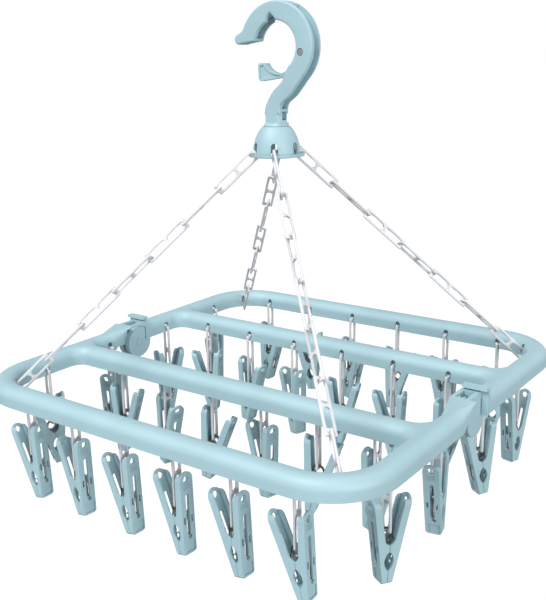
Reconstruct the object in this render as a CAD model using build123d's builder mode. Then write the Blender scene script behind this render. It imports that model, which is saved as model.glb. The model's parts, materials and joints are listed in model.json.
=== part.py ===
"""Clip drying hanger: a folding square frame on four chains, with 32 sprung clips and a swivelling hook.

The origin is the centre of the hook's rod seat. The hook lies in the XZ plane with its mouth towards -X,
and the frame is level below it with its two hinges on the line y = 0. All sizes are in millimetres.
"""

import os
from math import asin, cos, radians, sin

from build123d import *

# ---------------------------------------------------------------- driving dimensions

# hook
seat_radius = 21.3
hook_outer_radius = 37.0
hook_thickness = 14.5
cheek_thickness = 3.2
groove_depth = 4.2
hub_x = -4.1  # the hub's axis stands this far from the seat's centre
neck_radius = 9.3
neck_bottom = -63.4
collar_radius = 10.9
collar_height = 2.6
spigot_radius = 4.6
spigot_length = 6.0
rivet_x, rivet_z = 26.2, -4.9
rivet_radius = 2.4
gate_thickness = 7.6
gate_open_angle = 14

# hub dome
rim_z = -92.0
rim_radius = 24.6
rim_height = 2.6
dome_radius = 20.6
dome_rise = 28.5
dome_top = -66.3
dome_wall = 2.2
slot_count = 6
slot_width = 6.2

# frame
rail_z = -287.0
half_length = 190.0  # from the middle to the side rail's centre line
half_depth = 187.0  # from the hinge line to the end bar's centre line
crossbar_y = 73.5
rail_width = 20.0
rail_top = 10.0  # above the rail's centre line
rail_bottom = -6.5
rail_wall = 2.2
corner_radius = 46.0  # of the rail's centre line
junction_radius = 11.0

# hinges
pivot_drop = 7.0  # the pin is level with the rail's bottom edge
hinge_disc_radius = 16.0
disc_gap = 0.6
lobe_thickness = 5.0
pin_radius = 2.5
plate_y = 8.8
box_rise = 20.5  # the hinge box's top above the pin

# clip rows
bar_hole_pitch = 56.0
bar_hole_count = 6
side_hole_inner_y = 42.0
side_hole_outer_y = 123.0
hole_width = 5.4
hole_bottom = -3.4  # from the rail's centre line
hole_height = 7.0

# white links
chain_link_width = 10.6
hanger_link_width = 9.6
link_bar = 2.4
hanger_length = 54.9
chain_link_count = 7

# clips, measured from the spring's centre
clip_top = 30.2
clip_bottom = -37.4
clip_width = 13.5
jaw_tip_x = 4.0
jaw_top_x = 16.4
jaw_plate = 1.9
jaw_flange = 1.8
coil_outer_radius = 5.3
coil_inner_radius = 4.4
coil_length = 3.0
wire_radius = 0.45
running_gap = 0.05

half_rail = rail_width / 2
hub_axis = Axis((hub_x, 0, 0), (0, 0, 1))
frame_plane = Plane((hub_x, 0, rail_z))

os.makedirs("parts", exist_ok=True)


def save(part, name):
    """Label a finished sub-part and write its STEP file."""
    part.label = name
    export_step(part, f"parts/{name}.step")


def slab(outline, thickness, mode=Mode.ADD):
    """Extrude a flat outline of the hook evenly to both sides of the XZ plane."""
    extrude(Plane.XZ.offset(-thickness / 2) * outline, amount=thickness, mode=mode)


# ---------------------------------------------------------------- gate finger and its fittings

with BuildSketch(Plane.XZ) as gate_outline:
    with BuildLine():
        seat_side = seat_radius + 0.7
        head = Polyline((-18.0, -13.4), (-19.8, -15.4), (-19.4, -26.8), (-17.2, -28.6), (4.4, -25.6))
        under = Spline(head @ 1, (15.5, -21.6), (23.5, -12.0), (28.5, -6.0), tangents=[(1, 0.12), (0.5, 1)])
        back = Line(under @ 1, (22.0, -1.2))
        inner = ThreePointArc(
            back @ 1,
            (seat_side * cos(radians(-42)), seat_side * sin(radians(-42))),
            (1.4, -22.2),
        )
        lip = Spline(inner @ 1, (-6.3, -19.9), (-12.4, -13.6), tangents=[(-1, 0.1), (-0.5, 1)])
        Line(lip @ 1, head @ 0)
    make_face()
    with Locations((rivet_x, rivet_z)):
        Circle(4.4)

with BuildPart() as gate_finger:
    slab(gate_outline.sketch_local, gate_thickness)
    with BuildSketch(Plane.XZ.offset(gate_thickness / 2)) as face_panel:
        with BuildLine():
            panel_base = Polyline((-17.9, -16.0), (-17.6, -26.2), (4.0, -24.0))
            panel_top = Spline((2.0, -23.7), (-7.4, -21.4), (-14.4, -15.0))
            Line(panel_base @ 1, panel_top @ 0)
            Line(panel_top @ 1, panel_base @ 0)
        make_face()
    extrude(amount=-0.8, mode=Mode.SUBTRACT)
    with Locations(Location((rivet_x, 0, rivet_z), (90, 0, 0))):
        Cylinder(rivet_radius + running_gap, hook_thickness, mode=Mode.SUBTRACT)
    # the spring's coil stands in a step on the boss
    with Locations(Location((rivet_x, gate_thickness / 2 - 1.0, rivet_z), (90, 0, 0))):
        Cylinder(5.6, 2.0, mode=Mode.SUBTRACT)
save(gate_finger.part, "gate_finger")

with BuildPart() as gate_rivet:
    with Locations(Location((rivet_x, 0, rivet_z), (90, 0, 0))):
        Cylinder(rivet_radius, hook_thickness - 1.6)
        with Locations((0, 0, hook_thickness / 2 - 1.1), (0, 0, 1.1 - hook_thickness / 2)):
            Cylinder(2.9, 1.0)
save(gate_rivet.part, "gate_rivet")

with BuildPart() as gate_spring:
    with Locations(Location((rivet_x, gate_thickness / 2 - 0.95, rivet_z), (90, 0, 0))):
        Cylinder(3.7, 1.6)
        Cylinder(rivet_radius + 0.35, 1.6, mode=Mode.SUBTRACT)
save(gate_spring.part, "gate_spring")

# ---------------------------------------------------------------- hook body

with BuildSketch(Plane.XZ) as hook_outline:
    with Locations((1.0, 0)):
        Circle(hook_outer_radius)
    Circle(seat_radius, mode=Mode.SUBTRACT)
    # the mouth, below the upper jaw's flat end and left of the strip
    with BuildLine():
        Polyline(
            (-60, 2.5),
            (-37.3, 2.5),
            (-20.0, 4.8),
            (0, 4.8),
            (13, -15.0),
            (24, -30),
            (24, -60),
            (-60, -60),
            (-60, 2.5),
        )
    make_face(mode=Mode.SUBTRACT)
    with BuildLine():
        Polyline((-8.2, 18.5), (-7.2, 24.4), (-4.6, 27.2), (-1.6, 24.6), (3.6, 18.5), (-8.2, 18.5))
    make_face(mode=Mode.SUBTRACT)
    # the strip leaves the ring on its right side and sweeps down to the neck
    with BuildLine():
        strip_right = Spline(
            (36.0, -12.0),
            (32.6, -19.0),
            (23.2, -30.8),
            (11.2, -43.2),
            (hub_x + neck_radius - 0.6, -53.0),
            tangents=[(-0.33, -0.94), (0, -1)],
        )
        strip_foot = Polyline(strip_right @ 1, (hub_x + neck_radius - 0.6, -56.0), (hub_x - neck_radius + 1.2, -56.0))
        strip_left = Spline(
            strip_foot @ 1,
            (-8.0, -44.4),
            (-3.4, -37.4),
            (6.9, -27.9),
            (13.4, -16.2),
            tangents=[(0.1, 1), (0.6, 0.8)],
        )
        Polyline(strip_left @ 1, (24.0, -8.0), (34.0, -8.0), (36.0, -12.0))
    make_face()
    # thumb tab
    with Locations((-37.6, 6.6)):
        Circle(4.5)
    with BuildLine():
        Polyline((-37.6, 11.1), (-33.4, 14.0), (-28.0, 14.0), (-28.0, 6.6), (-37.6, 6.6), (-37.6, 11.1))
    make_face()

# groove between the cheeks along the hook's back, from its crown down to the neck
with BuildSketch(Plane.XZ) as spine_groove:
    with BuildLine():
        ring_floor = CenterArc((1.0, 0), hook_outer_radius - groove_depth, 62, -81)
        strip_floor = Spline(
            ring_floor @ 1,
            (28.9, -17.0),
            (19.9, -28.2),
            (8.2, -40.4),
            (0.6, -51.5),
            tangents=[(-0.33, -0.95), (-0.2, -1)],
        )
        Polyline(strip_floor @ 1, (60, -51.5), (60, 45), (20, 45), ring_floor @ 0)
    make_face()

with BuildSketch(Plane.XZ) as jaw_groove:
    Circle(seat_radius + 4.5)
    Circle(seat_radius - 3, mode=Mode.SUBTRACT)
    with BuildLine():
        Polyline((-1.5, 9.2), (-8.2, 32), (-40, 32), (-40, 4.6), (-1.5, 9.2))
    make_face(mode=Mode.INTERSECT)

# slot between the cheeks that the gate turns in, with clearance all along its swing
with BuildSketch(Plane.XZ) as gate_slot:
    with BuildLine():
        slot_floor = Polyline((31.5, -6.5), (27.4, -13.2), (21.0, -25.2), (11.0, -31.8), (-11.0, -40.5))
        Polyline(slot_floor @ 1, (-30, -40.5), (-30, -10), (21.5, 0.4), (26.2, 0.6), slot_floor @ 0)
    make_face()
    with Locations((rivet_x, rivet_z)):
        Circle(5.6)

with BuildPart() as hook_body:
    slab(hook_outline.sketch_local, hook_thickness)
    flat_faces = hook_body.faces().filter_by(Axis.Y).sort_by(Axis.Y)
    fillet(flat_faces[0].edges() + flat_faces[-1].edges(), radius=1.6)
    with BuildSketch(Plane((hub_x, 0, -47.0), z_dir=(0, 0, -1))):
        Circle(neck_radius)
    extrude(amount=-47.0 - neck_bottom)
    with BuildSketch(Plane((hub_x, 0, neck_bottom), z_dir=(0, 0, -1))):
        Circle(collar_radius)
    extrude(amount=collar_height)
    with BuildSketch(Plane((hub_x, 0, neck_bottom - collar_height), z_dir=(0, 0, -1))):
        Circle(spigot_radius)
    extrude(amount=spigot_length)
    slab(spine_groove.sketch_local, hook_thickness - 2 * cheek_thickness, Mode.SUBTRACT)
    slab(jaw_groove.sketch_local, hook_thickness - 2 * cheek_thickness, Mode.SUBTRACT)
    slab(gate_slot.sketch_local, gate_thickness + 0.6, Mode.SUBTRACT)
    # window in the neck, in line with the groove
    with Locations((hub_x + neck_radius, 0, -57.4)):
        Box(9, 6.2, 7.2, mode=Mode.SUBTRACT)
    with Locations(Location((rivet_x, 0, rivet_z), (90, 0, 0))):
        Cylinder(rivet_radius + running_gap, hook_thickness, mode=Mode.SUBTRACT)
        with Locations((0, 0, hook_thickness / 2), (0, 0, -hook_thickness / 2)):
            Cylinder(3.2, 3.4, mode=Mode.SUBTRACT)
save(hook_body.part, "hook_body")

# ---------------------------------------------------------------- hub dome and swivel

dome_section = Plane(origin=(hub_x, 0, 0), x_dir=(1, 0, 0), z_dir=(0, -1, 0))
rim_top = rim_z + rim_height
stub_inner_radius = 21.2  # at each slot the rim is a bar between this radius and its edge


def half_dome(radius, rise, top):
    """Half section of a dome on the rim's top: a quarter of an ellipse, cut off flat at the dome's top."""
    end = asin((top - rim_top) / rise)
    steps = [end * number / 4 for number in range(5)]
    with BuildSketch() as section:
        with BuildLine():
            outer = Spline(
                [(radius * cos(step), rim_top + rise * sin(step)) for step in steps],
                tangents=[(0, 1), (-radius * sin(end), rise * cos(end))],
            )
            Polyline(outer @ 1, (0, top), (0, rim_top), outer @ 0)
        make_face()
    return section.sketch


with BuildPart() as hub_dome:
    with BuildSketch(dome_section):
        add(half_dome(dome_radius, dome_rise, dome_top))
        with Locations((rim_radius / 2, rim_z + rim_height / 2)):
            Rectangle(rim_radius, rim_height)
    revolve(axis=hub_axis)
    with BuildSketch(dome_section):
        add(half_dome(dome_radius - dome_wall, dome_rise - 2.4, dome_top - 3.0))
        with Locations(((dome_radius - dome_wall) / 2, rim_z + rim_height / 2)):
            Rectangle(dome_radius - dome_wall, rim_height + 0.01)
        with Locations((2.35, dome_top - 1.5)):
            Rectangle(4.7, 4.0)
    revolve(axis=hub_axis, mode=Mode.SUBTRACT)
    fillet(hub_dome.edges().filter_by(GeomType.CIRCLE).sort_by(Axis.Z)[0], radius=0.8)
    for number in range(slot_count):
        facing = radians(30 + number * 360 / slot_count)
        outward = (sin(facing), -cos(facing), 0)
        side = (cos(facing), sin(facing), 0)
        with BuildSketch(Plane(origin=(hub_x, 0, 0), x_dir=side, z_dir=outward)):
            with Locations((0, rim_top + 3.4)):
                Rectangle(slot_width, 6.4)
            with Locations((0, rim_top + 6.6)):
                Circle(slot_width / 2)
        extrude(amount=rim_radius + 1, mode=Mode.SUBTRACT)
        with BuildSketch(Plane(origin=(hub_x, 0, 0), x_dir=side, z_dir=outward)):
            with Locations((0, rim_top)):
                Rectangle(slot_width, 2 * rim_height + 1)
        extrude(amount=stub_inner_radius, mode=Mode.SUBTRACT)
save(hub_dome.part, "hub_dome")

with BuildPart() as swivel_retainer:
    spigot_end = neck_bottom - collar_height - spigot_length
    with Locations((hub_x, 0, spigot_end + 1.3)):
        Cylinder(8.0, 2.0)
    with Locations((hub_x, 0, spigot_end - 0.7)):
        Cylinder(5.8, 3.0)
    with Locations((hub_x, 0, spigot_end + 2.0)):
        Cylinder(spigot_radius, 4.0, mode=Mode.SUBTRACT)
save(swivel_retainer.part, "swivel_retainer")

# ---------------------------------------------------------------- folding frame

outer_length = half_length + half_rail
outer_depth = half_depth + half_rail
inner_length = half_length - half_rail
inner_depth = half_depth - half_rail
rail_end_y = 11.6  # the rails proper stop this far from the hinge line
round_over = 9.4  # radius of the rails' rounded tops


def half_plan(inset):
    """Plan of the +Y half of the frame, pulled in by the inset all round."""
    with BuildSketch() as end_window:
        with Locations((0, (inner_depth + crossbar_y + half_rail) / 2)):
            Rectangle(2 * inner_length, inner_depth - crossbar_y - half_rail)
        fillet(end_window.vertices().group_by(Axis.Y)[-1], corner_radius - half_rail)
        fillet(end_window.vertices().group_by(Axis.Y)[0], junction_radius)
    with BuildSketch() as hinge_window:
        with Locations((0, (crossbar_y - half_rail) / 2)):
            Rectangle(2 * inner_length, crossbar_y - half_rail)
        fillet(hinge_window.vertices().group_by(Axis.Y)[-1], junction_radius)
    with BuildSketch() as plan:
        with Locations((0, (outer_depth + rail_end_y) / 2)):
            Rectangle(2 * outer_length, outer_depth - rail_end_y)
        fillet(plan.vertices().group_by(Axis.Y)[-1], corner_radius + half_rail)
        add(end_window.sketch, mode=Mode.SUBTRACT)
        add(hinge_window.sketch, mode=Mode.SUBTRACT)
        if inset:
            offset(amount=-inset)
    return plan.sketch


def away_from_hinge(edge):
    """Is this edge clear of the plane where the rails stop?"""
    return edge.center().Y > rail_end_y + rail_wall + 0.1


def rounded_bar(inset):
    """The rails as solid bars with rounded tops, pulled in by the inset at the sides and the top."""
    with BuildPart() as bar:
        with BuildSketch(Plane.XY.offset(rail_bottom)):
            add(half_plan(inset))
        extrude(amount=rail_top - rail_bottom - inset)
        fillet(bar.faces().sort_by(Axis.Z)[-1].edges().filter_by(away_from_hinge), round_over - inset)
    return bar.part


def half_channel(side):
    """The moulded channel of one half of the frame, open below; side is +1 for the +Y half or -1."""
    with BuildPart() as half:
        add(rounded_bar(0))
        add(rounded_bar(rail_wall), mode=Mode.SUBTRACT)
    return half.part if side > 0 else mirror(half.part, about=Plane.XZ)


def hole_cutter(bottom, height):
    """An arch-topped cutter that goes through one wall along Y."""
    with BuildPart() as cutter:
        with BuildSketch(Plane.XZ):
            with Locations((0, bottom + (height - hole_width / 2) / 2)):
                Rectangle(hole_width, height - hole_width / 2)
            with Locations((0, bottom + height - hole_width / 2)):
                Circle(hole_width / 2)
        extrude(amount=rail_wall + 1.2, both=True)
    return cutter.part


bar_hole_xs = [(number - (bar_hole_count - 1) / 2) * bar_hole_pitch for number in range(bar_hole_count)]
corner_hole_bottom = -3.4


def rail_holes(side):
    """Cutters for the holes that the links hang from, in the walls that face the middle of the frame."""
    cutter = hole_cutter(hole_bottom, hole_height)
    for wall_y in (crossbar_y - half_rail, inner_depth):
        for x in bar_hole_xs:
            yield Pos(x, side * (wall_y + rail_wall / 2), 0) * cutter
    for x in (-inner_length - rail_wall / 2, inner_length + rail_wall / 2):
        for y in (side_hole_inner_y, side_hole_outer_y):
            yield Pos(x, side * y, 0) * Rot(0, 0, 90) * cutter
    corner_cutter = hole_cutter(corner_hole_bottom, hole_height + 2.6)
    wall_radius = corner_radius - half_rail + rail_wall / 2
    for x_side in (-1, 1):
        bend = Pos(x_side * (half_length - corner_radius), side * (half_depth - corner_radius), 0)
        yield bend * Rot(0, 0, -x_side * side * 45) * Pos(0, side * wall_radius, 0) * corner_cutter


# ---------------------------------------------------------------- frame halves with their hinge ends

lobe_x = inner_length  # the rear half's disc starts at the rail's inner face
cheek_x, cheek_outer_x = 190.0, 194.6  # between these the front half has its own disc
box_inner_x = 177.5
box_front, box_back = -14.0, plate_y - 0.4
plate_outer_x = outer_length + 0.8
disc_cut_radius = hinge_disc_radius + disc_gap
rail_rise = pivot_drop + rail_bottom  # the rail's bottom edge above the pin
flare_start = -38.0  # from here the front half's rail widens into the hinge box


def along_x(x_from, x_to, radius, x_side, mode=Mode.ADD):
    """A cylinder about the hinge pin between two distances from the middle, on one side of the frame."""
    middle = (x_side * (x_from + x_to) / 2, 0, -pivot_drop)
    with Locations(Location(middle, (0, 90, 0))):
        Cylinder(radius, x_to - x_from, mode=mode)


def hinge_slab(points, x_from, x_to, x_side, mode=Mode.ADD):
    """A slab with a YZ outline, given from the pin, between two distances from the middle."""
    start = min(x_side * x_from, x_side * x_to)
    plane = Plane(origin=(start, 0, -pivot_drop), x_dir=(0, 1, 0), z_dir=(1, 0, 0))
    with BuildSketch() as outline:
        with BuildLine():
            Polyline(*points, close=True)
        make_face()
    extrude(plane * outline.sketch_local, amount=x_to - x_from, mode=mode)


def flare(x_side):
    """The front half's rail changing from its rounded section to the square hinge box."""
    with BuildPart() as solid:
        with BuildSketch(Plane.XZ.offset(-flare_start)):
            with Locations((x_side * half_length, (rail_top + rail_bottom) / 2)):
                section = Rectangle(rail_width, rail_top - rail_bottom)
            fillet(section.vertices().group_by(Axis.Y)[-1], round_over)
        with BuildSketch(Plane.XZ.offset(-box_front)):
            with Locations((x_side * (box_inner_x + outer_length) / 2, (box_rise - pivot_drop + rail_bottom) / 2)):
                section = Rectangle(outer_length - box_inner_x, box_rise - rail_rise)
            fillet(section.vertices().group_by(Axis.Y)[-1], 1.2)
        loft()
    return solid.part


with BuildPart() as front_frame:
    add(half_channel(-1))
    for x_side in (-1, 1):
        add(flare(x_side))
        box_outline = [(box_front, rail_rise), (box_front, box_rise), (box_back, box_rise), (box_back, rail_rise)]
        hinge_slab(box_outline, box_inner_x, cheek_outer_x, x_side)
        along_x(cheek_x, cheek_outer_x, hinge_disc_radius, x_side)
        along_x(lobe_x + lobe_thickness + 0.4, cheek_x, plate_y - 0.8, x_side)
        # the rail's outer skin ends on a slope in front of the disc, and its inner skin behind the rear disc
        outer_slope = [(-10.5, box_rise + 2), (-37, rail_rise - 2), (plate_y, rail_rise - 2), (plate_y, box_rise + 2)]
        hinge_slab(outer_slope, cheek_outer_x, outer_length + 3, x_side, Mode.SUBTRACT)
        inner_slope = [(-19.5, box_rise - 2.6), (-35.8, rail_rise - 2), (0, rail_rise - 2), (0, box_rise - 2.6)]
        hinge_slab(inner_slope, box_inner_x - 1, lobe_x + lobe_thickness + 0.4, x_side, Mode.SUBTRACT)
        along_x(box_inner_x - 1, lobe_x + lobe_thickness + 0.4, disc_cut_radius, x_side, Mode.SUBTRACT)
        with Locations((x_side * 186.0, -3.8, box_rise - pivot_drop - 5.5)):
            Box(9.6, 16.5, 11.01, mode=Mode.SUBTRACT)
        along_x(box_inner_x - 1, cheek_outer_x - 1.6, pin_radius + 0.02, x_side, Mode.SUBTRACT)
    for cutter in rail_holes(-1):
        add(cutter, mode=Mode.SUBTRACT)
save(front_frame.part.moved(frame_plane.location), "front_frame")

with BuildPart() as rear_frame:
    add(half_channel(1))
    for x_side in (-1, 1):
        plate_outline = [(plate_y, rail_rise), (plate_y, box_rise + 1.9), (5.2, box_rise + 1.9)]
        plate_outline += [(5.2, box_rise + 4.4), (plate_y + 3.4, box_rise + 4.4), (plate_y + 3.4, rail_rise)]
        hinge_slab(plate_outline, inner_length - 1.2, plate_outer_x, x_side)
        along_x(lobe_x, lobe_x + lobe_thickness, hinge_disc_radius, x_side)
        along_x(cheek_x - 0.4, cheek_outer_x + 0.6, disc_cut_radius, x_side, Mode.SUBTRACT)
        along_x(inner_length - 3, cheek_x, pin_radius + running_gap, x_side, Mode.SUBTRACT)
    for cutter in rail_holes(1):
        add(cutter, mode=Mode.SUBTRACT)
save(rear_frame.part.moved(frame_plane.location), "rear_frame")

with BuildPart() as hinge_pins:
    for x_side in (-1, 1):
        along_x(inner_length - 0.6, cheek_outer_x - 1.8, pin_radius, x_side)
        along_x(inner_length - 0.6, inner_length - 0.05, 5.0, x_side)
        # a curved slot in the head
        with BuildSketch() as slot:
            with BuildLine():
                arc = CenterArc((0, 0), 3.4, -70, 140)
            SlotArc(arc, 1.1)
        head = Plane(origin=(x_side * (inner_length - 0.25), 0, -pivot_drop), x_dir=(0, 1, 0), z_dir=(1, 0, 0))
        extrude(head * slot.sketch_local, amount=-x_side * 0.6, mode=Mode.SUBTRACT)
save(hinge_pins.part.moved(frame_plane.location), "hinge_pins")

# ---------------------------------------------------------------- white links


def make_link(length, width):
    """A flat link in the XZ plane, long side along Z, with a crossbar between its two windows."""
    window = (length - 3 * link_bar) / 2
    with BuildPart() as link:
        with BuildSketch(Plane.XZ.offset(-link_bar / 2)):
            RectangleRounded(width, length, 3.6)
            with Locations((0, (window + link_bar) / 2), (0, -(window + link_bar) / 2)):
                RectangleRounded(width - 2 * link_bar, window, 1.2, mode=Mode.SUBTRACT)
        extrude(amount=link_bar)
        chamfer(link.faces().filter_by(Axis.Y).edges(), 0.5)
    return link.part


# Each chain runs straight from a bar of the hub's rim to the wall of a rounded corner. A link is as long
# as the pitch and two end bars, with a little play, and every other link is turned a quarter.
stub_radius = (stub_inner_radius + rim_radius) / 2
corner_wall = corner_radius - half_rail + rail_wall / 2
corner_stub_z = rail_z + (corner_hole_bottom + rail_bottom) / 2
link_play = 0.3
end_bar_reach = 2.4  # from an end bar's inner edge to the middle of the bar or wall that it holds


def chain_links(x_side, y_side):
    """The links of one chain, as (location, turned) pairs from the hub to the frame's corner."""
    top = Vector(
        hub_x + x_side * stub_radius * sin(radians(30)),
        y_side * stub_radius * cos(radians(30)),
        rim_z + rim_height / 2,
    )
    diagonal = corner_wall * cos(radians(45))
    foot = Vector(
        hub_x + x_side * (half_length - corner_radius + diagonal),
        y_side * (half_depth - corner_radius + diagonal),
        corner_stub_z,
    )
    run = foot - top
    pitch = (run.length + 2 * end_bar_reach - link_play) / chain_link_count
    along = run.normalized()
    across = along.cross(Vector(0, 0, 1)).normalized()
    length = pitch + 2 * link_bar + link_play
    first = top + along * (length / 2 - link_bar - end_bar_reach)
    for number in range(chain_link_count):
        thickness_way = across if number % 2 == 0 else along.cross(across)
        width_way = thickness_way.cross(along)
        yield Plane(origin=first + along * (pitch * number), x_dir=width_way, z_dir=along).location, length


for name, y_side in (("front_chains", -1), ("rear_chains", 1)):
    with BuildPart() as chains:
        for x_side in (-1, 1):
            for place, length in chain_links(x_side, y_side):
                add(make_link(length, chain_link_width).moved(place))
    save(chains.part, name)

# ---------------------------------------------------------------- clips

face_slope = (jaw_top_x - jaw_tip_x) / (clip_top - clip_bottom)
face_normal = Vector(1, 0, -face_slope).normalized()
jaw_face = Plane(origin=(jaw_tip_x, 0, clip_bottom), x_dir=(0, 1, 0), z_dir=face_normal)
face_length = (clip_top - clip_bottom) / cos(asin(face_slope / (1 + face_slope**2) ** 0.5))
arm_depth = 5.6
nose_gap = 0.2  # half of what separates the two jaws at their noses and tips
nose_top, nose_bottom = -5.8, -11.2
lens_bottom = -26.2


def make_jaw():
    """The +X jaw of a clip, about the spring's centre: a channel that becomes solid at the tip."""
    half_width = clip_width / 2
    with BuildPart() as jaw:
        with BuildSketch(Plane.XZ.offset(-half_width)):
            with BuildLine():
                Polyline((nose_gap, clip_bottom), (jaw_tip_x, clip_bottom), (jaw_top_x, clip_top))
                Polyline((jaw_top_x, clip_top), (jaw_top_x - arm_depth, clip_top), (5.6, 4.0), (4.7, 0.6))
                ThreePointArc((4.7, 0.6), (3.4, -3.7), (nose_gap, nose_top))
                Line((nose_gap, nose_top), (nose_gap, nose_bottom))
                ThreePointArc((nose_gap, nose_bottom), (3.9, -18.7), (nose_gap, lens_bottom))
                Line((nose_gap, lens_bottom), (nose_gap, clip_bottom))
            make_face()
        extrude(amount=clip_width)
        # hollow between the two flanges and behind the plate
        inner_tip_x = jaw_tip_x + face_slope * (lens_bottom - clip_bottom) - jaw_plate
        rise = clip_top + 4 - lens_bottom
        with BuildSketch(Plane.XZ.offset(jaw_flange - half_width)):
            with BuildLine():
                Polyline(
                    (-2, lens_bottom),
                    (inner_tip_x, lens_bottom),
                    (inner_tip_x + face_slope * rise, lens_bottom + rise),
                    (-2, lens_bottom + rise),
                    close=True,
                )
            make_face()
        extrude(amount=clip_width - 2 * jaw_flange, mode=Mode.SUBTRACT)
        # rounded top and softened bottom corners, seen from the face
        with BuildSketch(Plane.YZ) as front:
            with Locations((0, (clip_top + clip_bottom) / 2)):
                Rectangle(clip_width, clip_top - clip_bottom)
            fillet(front.vertices().group_by(Axis.Y)[-1], half_width - 0.05)
            fillet(front.vertices().group_by(Axis.Y)[0], 2.6)
        extrude(amount=30, mode=Mode.INTERSECT)
        with BuildSketch(jaw_face):
            with Locations((0, 0.918 * face_length)):
                Circle(2.4)
            with Locations((0, 0.483 * face_length)):
                SlotOverall(0.497 * face_length, 2.2, rotation=90)
            with Locations((0.9, 0.207 * face_length)):
                Circle(1.8)
            with Locations((-3.9, 0.42 * face_length), (3.9, 0.42 * face_length)):
                Rectangle(1.7, 0.083 * face_length)
        extrude(amount=-jaw_plate - 1, both=False, mode=Mode.SUBTRACT)
        with BuildSketch(jaw_face):
            with Locations((0.9, 0.085 * face_length)):
                Rectangle(clip_width - 4.2, 0.12 * face_length)
        extrude(amount=-0.8, mode=Mode.SUBTRACT)
        with BuildSketch(jaw_face):
            with GridLocations(0, 1.5, 1, 4):
                with Locations((0, 0.83 * face_length)):
                    Rectangle(7.6, 0.6)
        extrude(amount=0.35)
    return jaw.part


def make_spring():
    """The clip's torsion spring as a plain coil with one straight leg down each jaw."""
    with BuildPart() as spring:
        with Locations(Location((0, 0, 0), (90, 0, 0))):
            Cylinder(coil_outer_radius, coil_length)
        foot = jaw_face.from_local_coords(Vector(0, 0.217 * face_length, -2.5))
        for x_side in (-1, 1):
            start = Vector(x_side * (coil_outer_radius - wire_radius), 0, 0)
            leg = Vector(x_side * foot.X, 0, foot.Z) - start
            with BuildSketch(Plane(origin=start, z_dir=leg)):
                Circle(wire_radius)
            extrude(amount=leg.length)
        with Locations(Location((0, 0, 0), (90, 0, 0))):
            Cylinder(coil_inner_radius, coil_length + 2, mode=Mode.SUBTRACT)
    return spring.part


# ---------------------------------------------------------------- clip rows

link_offset = 0.4  # the link hangs this far towards the middle of the frame from its wall's centre
link_top_z = hole_bottom + link_bar + 0.3
coil_z = link_top_z - hanger_length - 1.7  # the link's end bar lies high in the coil
bar_link_y = inner_depth + rail_wall / 2 - link_offset
crossbar_link_y = crossbar_y - half_rail + rail_wall / 2 - link_offset
side_link_x = inner_length + rail_wall / 2 - link_offset

link_swing = 10.0  # how far a link can turn in its hole, in degrees

# each clip hangs turned about the vertical and leaning about its spring: (turn, lean) in degrees
front_bar_poses = [(2, -13), (-6, -12), (-2, -13), (-4, -12), (-4, -13), (2, -13)]
front_crossbar_poses = [(14, 6), (-20, 9), (8, 12), (-16, -8), (18, 10), (-12, 8)]
rear_crossbar_poses = [(20, -6), (-8, 7), (-22, -9), (12, 5), (6, -7), (-14, 10)]
rear_bar_poses = [(-6, 8), (16, -5), (-18, 6), (10, 8), (-12, -6), (20, 5)]
rows = [
    ("front_bar", [(x, -bar_link_y, 0) for x in bar_hole_xs], front_bar_poses),
    ("front_crossbar", [(x, -crossbar_link_y, 0) for x in bar_hole_xs], front_crossbar_poses),
    ("rear_crossbar", [(x, crossbar_link_y, 0) for x in bar_hole_xs], rear_crossbar_poses),
    ("rear_bar", [(x, bar_link_y, 0) for x in bar_hole_xs], rear_bar_poses),
]
side_rows = [
    ("front_outer", -side_hole_outer_y, [(66, -6), (60, 4)]),
    ("front_inner", -side_hole_inner_y, [(108, 5), (100, -3)]),
    ("rear_inner", side_hole_inner_y, [(72, 4), (58, -5)]),
    ("rear_outer", side_hole_outer_y, [(112, -4), (76, 4)]),
]
for name, y, poses in side_rows:
    rows.append((name, [(-side_link_x, y, 90), (side_link_x, y, 90)], poses))

jaw = make_jaw()
spring = make_spring()
hanger_link = make_link(hanger_length, hanger_link_width)


def clip_place(place, pose):
    """Where a clip's spring centre is, and how the clip is turned and leans."""
    return frame_plane.location * Pos(place[0], place[1], coil_z) * Rot(0, 0, pose[0]) * Rot(0, pose[1], 0)


def link_place(place, pose):
    """Where a hanger's middle is. The link turns with its clip as far as the hole lets it."""
    follow = max(-link_swing, min(link_swing, pose[0] - place[2]))
    middle = Pos(place[0], place[1], link_top_z - hanger_length / 2)
    return frame_plane.location * middle * Rot(0, 0, 90 + place[2] + follow)


def jaw_turns(pose):
    """How the fixed and the moving jaw are turned. The fixed one is on the side that the link leans to."""
    return (180, 0) if pose[1] > 0 else (0, 180)


for name, places, poses in rows:
    with BuildPart() as hangers:
        for place, pose in zip(places, poses):
            add(hanger_link.moved(link_place(place, pose)))
            add(jaw.moved(clip_place(place, pose) * Rot(0, 0, jaw_turns(pose)[0])))
    save(hangers.part, f"{name}_hangers")
    with BuildPart() as springs:
        for place, pose in zip(places, poses):
            add(spring.moved(clip_place(place, pose)))
    save(springs.part, f"{name}_springs")
    for number, (place, pose) in enumerate(zip(places, poses), 1):
        with BuildPart() as moving_jaw:
            add(jaw.moved(clip_place(place, pose) * Rot(0, 0, jaw_turns(pose)[1])))
        save(moving_jaw.part, f"{name}_jaw_{number}")
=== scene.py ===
"""Looks of the clip drying hanger: moulded plastic, white links and wound springs around the CAD frame."""

import json
from math import cos, pi, radians, sin

import bmesh
import bpy
import numpy as np
from mathutils import Matrix, Vector


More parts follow.
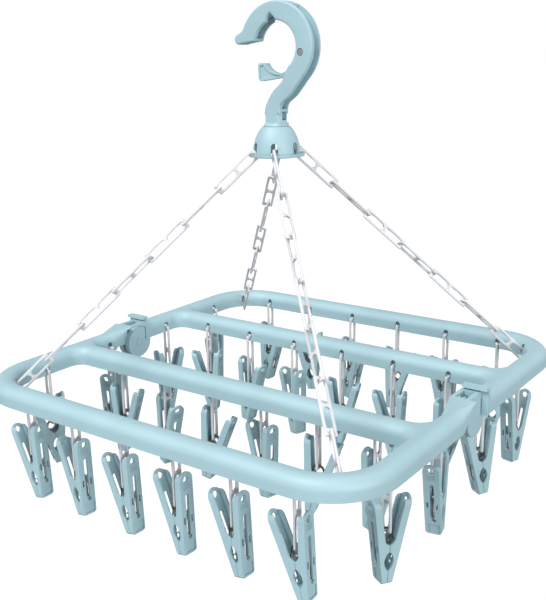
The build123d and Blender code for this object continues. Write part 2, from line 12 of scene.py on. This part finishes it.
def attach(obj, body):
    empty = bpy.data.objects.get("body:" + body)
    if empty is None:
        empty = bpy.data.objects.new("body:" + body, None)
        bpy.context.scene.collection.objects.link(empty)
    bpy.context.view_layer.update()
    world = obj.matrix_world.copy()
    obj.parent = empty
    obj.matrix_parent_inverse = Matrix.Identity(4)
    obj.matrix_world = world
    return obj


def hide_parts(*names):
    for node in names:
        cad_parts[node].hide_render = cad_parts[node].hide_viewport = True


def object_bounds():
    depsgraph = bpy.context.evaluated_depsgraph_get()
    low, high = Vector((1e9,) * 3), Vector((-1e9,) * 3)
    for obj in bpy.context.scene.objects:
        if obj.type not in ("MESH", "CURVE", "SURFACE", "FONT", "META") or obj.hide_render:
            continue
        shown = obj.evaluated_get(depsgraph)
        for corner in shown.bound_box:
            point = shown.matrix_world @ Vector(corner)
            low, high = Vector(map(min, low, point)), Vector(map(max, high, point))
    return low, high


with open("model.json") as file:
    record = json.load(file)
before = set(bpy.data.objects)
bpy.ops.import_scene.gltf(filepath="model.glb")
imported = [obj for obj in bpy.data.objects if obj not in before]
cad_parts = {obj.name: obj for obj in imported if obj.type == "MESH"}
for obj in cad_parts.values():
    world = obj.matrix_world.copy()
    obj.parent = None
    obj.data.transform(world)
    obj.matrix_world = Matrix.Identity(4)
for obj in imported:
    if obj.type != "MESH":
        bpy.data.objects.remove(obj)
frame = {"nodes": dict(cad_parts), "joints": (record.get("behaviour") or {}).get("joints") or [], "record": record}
cad_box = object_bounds()
nodes = frame["nodes"]
joints = {joint["name"]: joint for joint in frame["joints"]}
scene = bpy.context.scene
MM = 0.001

# ---------------------------------------------------------------- camera, floor and light

VIEW_AZIMUTH, VIEW_ELEVATION, VIEW_ROLL = 36.0, 15.28, -1.01  # degrees
VIEW_DISTANCE = 0.82
VIEW_TARGET = Vector((-0.0073, -0.0049, -0.222))  # on the hub's axis, between the hub and the frame
VIEW_LENS = 54.06
FLOOR_DROP = 0.6  # the hanger hangs this far above the floor
FLOOR_HALF = 60.0
# the studio's grey by height: 0 is straight down, 0.5 the horizon and 1 straight up
WORLD_STOPS = [(0.0, 0.3), (0.455, 0.34), (0.485, 1.0), (0.56, 1.0), (0.68, 0.34), (1.0, 0.36)]


def set_camera():
    """The camera looks at the hanger from the front right, a little above the frame."""
    turn = (
        Matrix.Rotation(radians(VIEW_AZIMUTH), 4, "Z")
        @ Matrix.Rotation(radians(90 - VIEW_ELEVATION), 4, "X")
        @ Matrix.Rotation(radians(VIEW_ROLL), 4, "Z")
    )
    back = turn.to_3x3() @ Vector((0, 0, 1))
    data = bpy.data.cameras.new("camera")
    data.lens = VIEW_LENS
    data.sensor_width = 36.0
    data.clip_start, data.clip_end = 0.05, 200.0
    camera = bpy.data.objects.new("camera", data)
    camera.matrix_world = Matrix.Translation(VIEW_TARGET + back * VIEW_DISTANCE) @ turn
    scene.collection.objects.link(camera)
    scene.camera = camera


def add_sun(name, way_from, strength, softness):
    """A distant soft lamp that shines from a direction."""
    data = bpy.data.lights.new(name, "SUN")
    data.energy = strength
    data.angle = radians(softness)
    light = bpy.data.objects.new(name, data)
    light.rotation_euler = Vector(way_from).to_track_quat("Z", "Y").to_euler()
    scene.collection.objects.link(light)


def new_material(name):
    """A material with its Principled shader and a helper that adds nodes to it."""
    material = bpy.data.materials.new(name)
    material.use_nodes = True
    tree = material.node_tree
    return material, tree, tree.nodes["Principled BSDF"]


def set_world():
    """A grey studio: pale at the horizon, so that the floor has no visible end, and darker elsewhere."""
    world = bpy.data.worlds.new("studio")
    world.use_nodes = True
    tree = world.node_tree
    place = tree.nodes.new("ShaderNodeTexCoord")
    parts = tree.nodes.new("ShaderNodeSeparateXYZ")
    height = tree.nodes.new("ShaderNodeMapRange")
    height.inputs["From Min"].default_value = -1.0
    ramp = tree.nodes.new("ShaderNodeValToRGB")
    tree.links.new(place.outputs["Generated"], parts.inputs["Vector"])
    tree.links.new(parts.outputs["Z"], height.inputs["Value"])
    tree.links.new(height.outputs["Result"], ramp.inputs["Fac"])
    tree.links.new(ramp.outputs["Color"], tree.nodes["Background"].inputs["Color"])
    stops = ramp.color_ramp.elements
    stops[0].position, stops[1].position = WORLD_STOPS[0][0], WORLD_STOPS[-1][0]
    for position, _ in WORLD_STOPS[1:-1]:
        stops.new(position)
    for stop, (_, grey) in zip(stops, WORLD_STOPS):
        stop.color = (grey, grey, grey * 1.01, 1)
    scene.world = world


def set_stage():
    """A pale floor well below the clips. It bounces no light, so the undersides keep their shade."""
    floor_z = cad_box[0][2] - FLOOR_DROP
    mesh = bpy.data.meshes.new("floor")
    half = FLOOR_HALF
    mesh.from_pydata(
        [(-half, -half, floor_z), (half, -half, floor_z), (half, half, floor_z), (-half, half, floor_z)],
        [],
        [(0, 1, 2, 3)],
    )
    floor = bpy.data.objects.new("floor", mesh)
    floor.visible_diffuse = False
    floor.visible_glossy = False
    scene.collection.objects.link(floor)
    material, tree, shader = new_material("floor_paint")
    shader.inputs["Base Color"].default_value = (0.95, 0.95, 0.95, 1)
    shader.inputs["Roughness"].default_value = 0.9
    shader.inputs["Specular IOR Level"].default_value = 0.0
    mesh.materials.append(material)
    add_sun("key", (-0.2, -0.62, 0.85), 2.6, 35)
    add_sun("fill", (0.9, -0.3, 0.1), 2.3, 40)
    scene.view_settings.view_transform = "Standard"


# ---------------------------------------------------------------- materials


def plastic(name, colour, mottle, roughness, grain, grain_depth, painted_shade_darkest):
    """Moulded plastic: a faintly uneven tint with painted shade in its hollows, a fine grain and flow waves."""
    material, tree, shader = new_material(name)
    make = tree.nodes.new
    link = tree.links.new
    place = make("ShaderNodeTexCoord")
    cloud = make("ShaderNodeTexNoise")
    cloud.inputs["Scale"].default_value = 28.0
    cloud.inputs["Detail"].default_value = 4.0
    link(place.outputs["Object"], cloud.inputs["Vector"])
    tint = make("ShaderNodeValToRGB")
    tint.color_ramp.elements[0].position = 0.35
    tint.color_ramp.elements[1].position = 0.65
    tint.color_ramp.elements[0].color = (*[part * (1 - mottle) for part in colour], 1)
    tint.color_ramp.elements[1].color = (*[min(1.0, part * (1 + mottle)) for part in colour], 1)
    link(cloud.outputs["Fac"], tint.inputs["Fac"])
    # Painted shade: the piece's own ambient occlusion darkens the base colour in its hollows, slots and creases
    painted_shade_ao = make("ShaderNodeAmbientOcclusion")
    painted_shade_ao.only_local = True
    painted_shade_ao.samples = 8
    painted_shade_ao.inputs["Distance"].default_value = 2.4 * MM
    painted_shade_range = make("ShaderNodeMapRange")
    painted_shade_range.inputs["From Min"].default_value = 0.2
    painted_shade_range.inputs["From Max"].default_value = 0.75
    painted_shade_range.inputs["To Min"].default_value = painted_shade_darkest
    link(painted_shade_ao.outputs["AO"], painted_shade_range.inputs["Value"])
    shade = make("ShaderNodeMix")
    shade.data_type = "RGBA"
    shade.blend_type = "MULTIPLY"
    shade.inputs["Factor"].default_value = 1.0
    link(tint.outputs["Color"], shade.inputs["A"])
    link(painted_shade_range.outputs["Result"], shade.inputs["B"])
    link(shade.outputs["Result"], shader.inputs["Base Color"])
    gloss = make("ShaderNodeMapRange")
    gloss.inputs["To Min"].default_value = roughness - 0.05
    gloss.inputs["To Max"].default_value = roughness + 0.07
    link(cloud.outputs["Fac"], gloss.inputs["Value"])
    link(gloss.outputs["Result"], shader.inputs["Roughness"])
    fine = make("ShaderNodeTexNoise")
    fine.inputs["Scale"].default_value = grain
    fine.inputs["Detail"].default_value = 3.0
    link(place.outputs["Object"], fine.inputs["Vector"])
    wave = make("ShaderNodeTexNoise")
    wave.inputs["Scale"].default_value = 60.0
    link(place.outputs["Object"], wave.inputs["Vector"])
    grain_bump = make("ShaderNodeBump")
    grain_bump.inputs["Strength"].default_value = 0.25
    grain_bump.inputs["Distance"].default_value = grain_depth
    link(fine.outputs["Fac"], grain_bump.inputs["Height"])
    wave_bump = make("ShaderNodeBump")
    wave_bump.inputs["Strength"].default_value = 0.3
    wave_bump.inputs["Distance"].default_value = 0.25 * MM
    link(wave.outputs["Fac"], wave_bump.inputs["Height"])
    link(grain_bump.outputs["Normal"], wave_bump.inputs["Normal"])
    link(wave_bump.outputs["Normal"], shader.inputs["Normal"])
    return material, shader


def steel(name, dark, bright):
    """Drawn metal with uneven polish and fine draw lines, between a dark and a bright tint."""
    material, tree, shader = new_material(name)
    make = tree.nodes.new
    link = tree.links.new
    place = make("ShaderNodeTexCoord")
    smear = make("ShaderNodeTexNoise")
    smear.inputs["Scale"].default_value = 350.0
    smear.inputs["Detail"].default_value = 5.0
    link(place.outputs["Object"], smear.inputs["Vector"])
    tint = make("ShaderNodeValToRGB")
    tint.color_ramp.elements[0].color = (*dark, 1)
    tint.color_ramp.elements[1].color = (*bright, 1)
    link(smear.outputs["Fac"], tint.inputs["Fac"])
    link(tint.outputs["Color"], shader.inputs["Base Color"])
    polish = make("ShaderNodeMapRange")
    polish.inputs["To Min"].default_value = 0.22
    polish.inputs["To Max"].default_value = 0.42
    link(smear.outputs["Fac"], polish.inputs["Value"])
    link(polish.outputs["Result"], shader.inputs["Roughness"])
    bump = make("ShaderNodeBump")
    bump.inputs["Strength"].default_value = 0.2
    bump.inputs["Distance"].default_value = 0.05 * MM
    link(smear.outputs["Fac"], bump.inputs["Height"])
    link(bump.outputs["Normal"], shader.inputs["Normal"])
    shader.inputs["Metallic"].default_value = 1.0
    return material


TEAL = (0.365, 0.545, 0.600)
WHITE = (0.68, 0.69, 0.71)
# The last number of each plastic is how dark its painted shade gets in the deepest hollows
teal_plastic, teal_shader = plastic("teal_plastic", TEAL, 0.025, 0.46, 1500.0, 0.06 * MM, 0.25)
teal_shader.inputs["Subsurface Weight"].default_value = 0.04
teal_shader.inputs["Subsurface Radius"].default_value = (0.4, 0.8, 1.0)
teal_shader.inputs["Subsurface Scale"].default_value = 1.2 * MM
white_plastic, white_shader = plastic("white_plastic", WHITE, 0.015, 0.30, 1800.0, 0.04 * MM, 0.8)
white_shader.inputs["Subsurface Weight"].default_value = 0.25
white_shader.inputs["Subsurface Radius"].default_value = (1.0, 1.0, 1.0)
white_shader.inputs["Subsurface Scale"].default_value = 1.5 * MM
spring_steel = steel("spring_steel", (0.10, 0.085, 0.07), (0.34, 0.30, 0.26))
plated_steel = steel("plated_steel", (0.22, 0.24, 0.26), (0.48, 0.52, 0.55))

# ---------------------------------------------------------------- mesh helpers


def soften(piece, width):
    """Round the moulded edges: flat faces are made whole first, so that only true edges are bevelled."""
    flat = piece.modifiers.new("whole_faces", "DECIMATE")
    flat.decimate_type = "DISSOLVE"
    flat.angle_limit = radians(0.6)
    bevel = piece.modifiers.new("edge_rounds", "BEVEL")
    bevel.width = width
    bevel.segments = 2
    bevel.limit_method = "ANGLE"
    bevel.angle_limit = radians(38)
    bevel.harden_normals = False
    smooth_by_angle(piece)


def smooth_by_angle(piece, angle=38):
    """Shade the piece smooth except across its sharp edges."""
    piece.data.shade_smooth()
    form = bmesh.new()
    form.from_mesh(piece.data)
    for edge in form.edges:
        edge.smooth = len(edge.link_faces) == 2 and edge.calc_face_angle(0) < radians(angle)
    form.to_mesh(piece.data)
    form.free()


def islands(node):
    """The separate solids of a CAD node, each as (vertices, faces)."""
    mesh = nodes[node].data
    form = bmesh.new()
    form.from_mesh(mesh)
    bmesh.ops.remove_doubles(form, verts=form.verts, dist=1e-6)
    form.verts.ensure_lookup_table()
    seen = set()
    found = []
    for first in form.verts:
        if first.index in seen:
            continue
        group = []
        stack = [first]
        seen.add(first.index)
        while stack:
            vert = stack.pop()
            group.append(vert)
            for edge in vert.link_edges:
                other = edge.other_vert(vert)
                if other.index not in seen:
                    seen.add(other.index)
                    stack.append(other)
        number = {vert.index: place for place, vert in enumerate(group)}
        faces = {face for vert in group for face in vert.link_faces}
        points = np.array([vert.co[:] for vert in group])
        in_order = sorted(faces, key=lambda face: face.index)
        found.append((points, [[number[vert.index] for vert in face.verts] for face in in_order]))
    form.free()
    return found


def make_piece(name, parts, material, body, *stands_for):
    """One object from several (vertices, faces) parts, riding on a body and standing for its CAD nodes."""
    vertices = []
    faces = []
    for points, part_faces in parts:
        start = len(vertices)
        vertices += [tuple(point) for point in points]
        faces += [[start + corner for corner in face] for face in part_faces]
    mesh = bpy.data.meshes.new(name)
    mesh.from_pydata(vertices, [], faces)
    mesh.validate()
    piece = bpy.data.objects.new(name, mesh)
    scene.collection.objects.link(piece)
    mesh.materials.append(material)
    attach(piece, body)
    if stands_for:
        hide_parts(*stands_for)
    return piece


def tube(path, radius, sides=10):
    """A round wire along a path, closed at both ends, as (vertices, faces)."""
    path = [Vector(point) for point in path]
    across = (path[1] - path[0]).orthogonal().normalized()
    vertices = []
    faces = []
    for number, point in enumerate(path):
        ahead = path[min(number + 1, len(path) - 1)] - path[max(number - 1, 0)]
        across = (across - ahead * (across.dot(ahead) / ahead.length_squared)).normalized()
        other = ahead.normalized().cross(across)
        for side in range(sides):
            angle = 2 * pi * side / sides
            vertices.append(point + (across * cos(angle) + other * sin(angle)) * radius)
    for number in range(len(path) - 1):
        for side in range(sides):
            after = (side + 1) % sides
            low, high = number * sides, (number + 1) * sides
            faces.append([low + side, low + after, high + after, high + side])
    faces.append(list(range(sides))[::-1])
    faces.append([(len(path) - 1) * sides + side for side in range(sides)])
    return vertices, faces


# ---------------------------------------------------------------- white links

LINK_BAR = 2.4 * MM


def link_form(width, length):
    """A rounded link along Z with a crossbar, X across it and Y through it, as (vertices, faces)."""
    half, bar = width / 2, LINK_BAR
    columns = [-half, -half + bar, half - bar, half]
    ends = length / 2
    rows = [-ends, -ends + bar, -bar / 2, bar / 2, ends - bar, ends]
    form = bmesh.new()
    corners = [[form.verts.new((x, -bar / 2, z)) for x in columns] for z in rows]
    flat = []
    for row in range(5):
        for column in range(3):
            if column == 1 and row in (1, 3):
                continue
            low, high = corners[row], corners[row + 1]
            flat.append(form.faces.new((low[column], low[column + 1], high[column + 1], high[column])))
    raised = bmesh.ops.extrude_face_region(form, geom=flat, use_keep_orig=True)
    moved = [item for item in raised["geom"] if isinstance(item, bmesh.types.BMVert)]
    bmesh.ops.translate(form, verts=moved, vec=(0, bar, 0))
    bmesh.ops.recalc_face_normals(form, faces=form.faces)
    bmesh.ops.bevel(form, geom=[e for e in form.edges if e.calc_face_angle(0) > 1], offset=bar * 0.3,
                    segments=1, profile=0.5, affect="EDGES", clamp_overlap=True)
    mesh = bpy.data.meshes.new("link_form")
    form.to_mesh(mesh)
    form.free()
    shape = bpy.data.objects.new("link_form", mesh)
    scene.collection.objects.link(shape)
    rounding = shape.modifiers.new("rounding", "SUBSURF")
    rounding.levels = rounding.render_levels = 1
    bpy.context.view_layer.update()
    done = shape.evaluated_get(bpy.context.evaluated_depsgraph_get()).to_mesh()
    result = np.array([v.co[:] for v in done.vertices]), [list(f.vertices) for f in done.polygons]
    bpy.data.objects.remove(shape)
    bpy.data.meshes.remove(mesh)
    return result


def own_axes(points):
    """Centre and the (width, thickness, length) directions of a flat link, from its own box of points."""
    spread = points - points.mean(axis=0)
    _, directions = np.linalg.eigh(spread.T @ spread)
    thick, wide, long = directions[:, 0], directions[:, 1], directions[:, 2]
    axes = np.array([wide, thick, long])
    local = points @ axes.T
    middle = (local.min(axis=0) + local.max(axis=0)) / 2
    size = local.max(axis=0) - local.min(axis=0)
    centre = middle @ axes
    if np.dot(np.cross(axes[0], axes[1]), axes[2]) < 0:
        axes[1] = -axes[1]
    return centre, axes, size


link_forms = {}


def rounded_link(points, roll=0.0):
    """The rounded link that fits a CAD link, rolled by an angle about its own length."""
    centre, axes, size = own_axes(points)
    outer = round(float(size[0]), 5), round(float(size[2]), 5)
    if outer not in link_forms:
        link_forms[outer] = link_form(*outer)
    vertices, faces = link_forms[outer]
    turn = np.array([[cos(roll), sin(roll), 0], [-sin(roll), cos(roll), 0], [0, 0, 1]])
    return vertices @ turn @ axes + centre, faces


# A chain twists a little between the hub and the corner, so its links hang rolled, in degrees
CHAIN_ROLLS = [0, 16, 30, 34, 30, 16, 0]


def chain_order(link):
    """Chains one after the other, and a chain's links from the hub downwards."""
    points = link[0]
    return points[:, 0].mean() > hub_x, -points[:, 2].mean()


hub_x = joints["swivel"]["pos_m"][0]
for name, body in (("front_chains", "front_chain_pair"), ("rear_chains", "rear_chain_pair")):
    rolls = CHAIN_ROLLS * 2
    hanging = sorted(islands(name), key=chain_order)
    links = [rounded_link(link[0], radians(roll)) for link, roll in zip(hanging, rolls)]
    piece = make_piece(f"{name}_links", links, white_plastic, body, name)
    smooth_by_angle(piece, 60)

# ---------------------------------------------------------------- clips: links, jaws and springs

COIL_RADIUS = 4.85 * MM
WIRE_RADIUS = 0.5 * MM
COIL_TURNS = 3
PIVOT_DROP = 6.3 * MM  # the jaws pivot this far below the spring's centre
EDGE_ROUND = 0.35 * MM

# A jaw's face, about the spring's centre, in millimetres
CLIP_TOP, CLIP_BOTTOM, JAW_TIP_X, JAW_TOP_X = 30.2, -37.4, 4.0, 16.4
# where its moulded features are: up the face as a share of its length, and across it in millimetres
HOLE_MIDDLE, HOLE_REACH = 0.918, 2.5
SLOT_MIDDLE, SLOT_HALF, SLOT_REACH = 0.483, 0.25, 1.15
PANEL_MIDDLE, PANEL_HALF, PANEL_ASIDE, PANEL_REACH, PANEL_DEPTH = 0.085, 0.062, 0.9, 4.8, 0.8
RIDGE_MIDDLE, RIDGE_HALF, RIDGE_REACH, RIDGE_HEIGHT = 0.83, 0.05, 3.9, 0.35
PLATE_CUT, NEAR = 3.5, 0.05
# how much wider or deeper they are made
SLOT_WIDER, HOLE_WIDER, PANEL_DEEPER, RIDGE_HIGHER = 1.6, 1.25, 1.0, 0.3

# Half of the wire, from the coil down to its hooked end in the jaw's slot, in millimetres
LEG = [(4.85, 1.35, 0.0), (5.3, 1.2, -1.8), (6.9, 0.6, -4.7), (8.2, 0.1, -8.0), (8.1, 0.0, -13.0),
       (7.35, 0.1, -17.6), (6.9, 0.4, -20.2), (6.65, 1.2, -21.7), (6.4, 1.9, -23.0), (6.1, 1.0, -24.3)]


def clip_axes(row_jaw, moving_jaw, joint):
    """Place and directions of a clip: X towards the fixed jaw, Y along the coil, Z up the clip."""
    pivot = Vector(joint["pos_m"])
    along = Vector(joint["axis"]).normalized()
    middle = Vector((row_jaw.mean(axis=0) + moving_jaw.mean(axis=0)) / 2) - pivot
    up = (middle - along * middle.dot(along)).normalized()
    out = along.cross(up)
    turn = Matrix((out, along, up)).transposed().to_4x4()
    return Matrix.Translation(pivot + up * PIVOT_DROP) @ turn


def smooth_path(points, steps=4):
    """Points along a Catmull-Rom curve through the given points."""
    points = [Vector(point) for point in points]
    points = [2 * points[0] - points[1], *points, 2 * points[-1] - points[-2]]
    path = []
    for number in range(1, len(points) - 2):
        before, start, end, after = points[number - 1:number + 3]
        for step in range(steps):
            t = step / steps
            linear = 2 * start + (end - before) * t
            square = (2 * before - 5 * start + 4 * end - after) * t**2
            cube = (3 * start - before - 3 * end + after) * t**3
            path.append(0.5 * (linear + square + cube))
    path.append(points[-2])
    return path


def spring_paths():
    """The coil with the fixed jaw's leg, and the moving jaw's leg, in the clip's own directions."""
    leg = [Vector(point) * MM for point in LEG]
    half = leg[0].y
    coil = []
    steps = 20
    for number in range(int(steps * (COIL_TURNS + 0.5)) + 1):
        angle = pi - 2 * pi * number / steps
        height = -half + 2 * half * number / (steps * (COIL_TURNS + 0.5))
        coil.append(Vector((COIL_RADIUS * cos(angle), height, COIL_RADIUS * sin(angle))))
    fixed = coil + smooth_path(leg)[1:]
    moving = [Vector((-point.x, -point.y, point.z)) for point in smooth_path(leg)]
    return fixed, moving


def refine_jaw(points, place, side):
    """Open up what is moulded in a jaw's face: its slot, finger hole, tip panel and ridges."""
    turn = np.array(place.to_3x3())
    origin = np.array(place.translation)
    local = (points - origin) @ turn / MM
    local[:, :2] *= side
    slope = (JAW_TOP_X - JAW_TIP_X) / (CLIP_TOP - CLIP_BOTTOM)
    up = np.array((slope, 0.0, 1.0)) / (1 + slope**2) ** 0.5
    out = np.array((1.0, 0.0, -slope)) / (1 + slope**2) ** 0.5
    face = local - np.array((JAW_TIP_X, 0.0, CLIP_BOTTOM))
    length = (CLIP_TOP - CLIP_BOTTOM) * (1 + slope**2) ** 0.5
    rise, reach, across = face @ up, face @ out, face[:, 1].copy()
    hole_rise = HOLE_MIDDLE * length
    share = rise / length
    in_plate = reach > -PLATE_CUT
    hole = (np.hypot(rise - hole_rise, across) < HOLE_REACH) & in_plate
    slot = (abs(share - SLOT_MIDDLE) < SLOT_HALF) & (abs(across) < SLOT_REACH) & in_plate
    panel = (abs(share - PANEL_MIDDLE) < PANEL_HALF) & (abs(across - PANEL_ASIDE) < PANEL_REACH)
    panel &= abs(reach + PANEL_DEPTH) < NEAR
    ridge = (abs(share - RIDGE_MIDDLE) < RIDGE_HALF) & (abs(across) < RIDGE_REACH)
    ridge &= abs(reach - RIDGE_HEIGHT) < NEAR
    across[slot] *= SLOT_WIDER
    across[hole] *= HOLE_WIDER
    rise[hole] = hole_rise + (rise[hole] - hole_rise) * HOLE_WIDER
    reach[panel] -= PANEL_DEEPER
    reach[ridge] += RIDGE_HIGHER
    side_step = np.array((0.0, 1.0, 0.0))
    local = np.outer(rise, up) + np.outer(reach, out) + np.outer(across, side_step)
    local += np.array((JAW_TIP_X, 0.0, CLIP_BOTTOM))
    local[:, :2] *= side
    return local * MM @ turn.T + origin


def is_link(points):
    """A hanger link reaches up into the rail, and a jaw doesn't."""
    return points[:, 2].max() > rail_bottom


rail_bottom = joints["fold"]["pos_m"][2]  # the hinge pins are level with the rails' lower edges
coil_and_leg, loose_leg = spring_paths()
row_names = sorted(name[: -len("_hangers")] for name in nodes if name.endswith("_hangers"))
for row in row_names:
    body = f"{row}_row"
    parts = islands(f"{row}_hangers")
    links = [points for points, _ in parts if is_link(points)]
    jaws = [part for part in parts if not is_link(part[0])]
    rounded = [rounded_link(points) for points in links]
    piece = make_piece(f"{row}_links", rounded, white_plastic, body, f"{row}_hangers")
    smooth_by_angle(piece, 60)
    wires = []
    refined = []
    for number in range(1, len(links) + 1):
        moving_name = f"{row}_jaw_{number}"
        joint = joints[f"{moving_name}_open"]
        moving_points, moving_faces = islands(moving_name)[0]
        middle = moving_points.mean(axis=0)
        nearest = min(jaws, key=lambda part: np.linalg.norm(part[0].mean(axis=0) - middle))
        place = clip_axes(nearest[0], moving_points, joint)
        refined.append((refine_jaw(nearest[0], place, 1), nearest[1]))
        moving_part = (refine_jaw(moving_points, place, -1), moving_faces)
        piece = make_piece(f"{moving_name}_body", [moving_part], teal_plastic, moving_name, moving_name)
        soften(piece, EDGE_ROUND)
        wires.append(tube([place @ point for point in coil_and_leg], WIRE_RADIUS))
        leg_path = [place @ point for point in loose_leg]
        wire = tube(leg_path, WIRE_RADIUS)
        leg = make_piece(f"{moving_name}_spring_leg", [wire], spring_steel, moving_name)
        smooth_by_angle(leg, 60)
    piece = make_piece(f"{row}_fixed_jaws", refined, teal_plastic, body, f"{row}_hangers")
    soften(piece, EDGE_ROUND)
    piece = make_piece(f"{row}_spring_coils", wires, spring_steel, body, f"{row}_springs")
    smooth_by_angle(piece, 60)

# ---------------------------------------------------------------- carried-over CAD nodes

NECK_TOP, NECK_BOTTOM = -46.8 * MM, -63.5 * MM
NECK_WAIST = -53.0 * MM  # the strip spreads above this height
NECK_LEFT, NECK_RIGHT, NECK_DEPTH = -7.3 * MM, 8.7 * MM, 7.25 * MM  # from the hub's axis
NECK_SPREAD = 0.36  # how far the strip's edges move over, for each unit of height


def flatten_neck(piece):
    """The neck is a nearly square post, flush with the hook's flat sides and with the strip's two edges."""
    form = bmesh.new()
    form.from_mesh(piece.data)
    for height in (NECK_WAIST, (NECK_WAIST + NECK_TOP) / 2):
        everything = form.verts[:] + form.edges[:] + form.faces[:]
        bmesh.ops.bisect_plane(form, geom=everything, plane_co=(0, 0, height), plane_no=(0, 0, 1))
    for vertex in form.verts:
        if NECK_BOTTOM < vertex.co.z < NECK_TOP:
            spread = NECK_SPREAD * max(0.0, vertex.co.z - NECK_WAIST)
            vertex.co.x = min(max(vertex.co.x, hub_x + NECK_LEFT + spread), hub_x + NECK_RIGHT + spread)
            vertex.co.y = min(max(vertex.co.y, -NECK_DEPTH), NECK_DEPTH)
    bmesh.ops.dissolve_degenerate(form, dist=0.01 * MM, edges=form.edges)
    form.to_mesh(piece.data)
    form.free()


bodies = frame["record"]["behaviour"]["bodies"]
body_of_node = {node: body for body, members in bodies.items() for node in members}
for name in sorted(nodes):
    if nodes[name].hide_render:
        continue
    metal = name in ("gate_rivet", "gate_spring", "swivel_retainer")
    material = plated_steel if metal else teal_plastic
    parts = islands(name)
    piece = make_piece(f"{name}_body", parts, material, body_of_node[name], name)
    if name == "hook_body":
        flatten_neck(piece)
    soften(piece, EDGE_ROUND)

set_camera()
set_world()
set_stage()
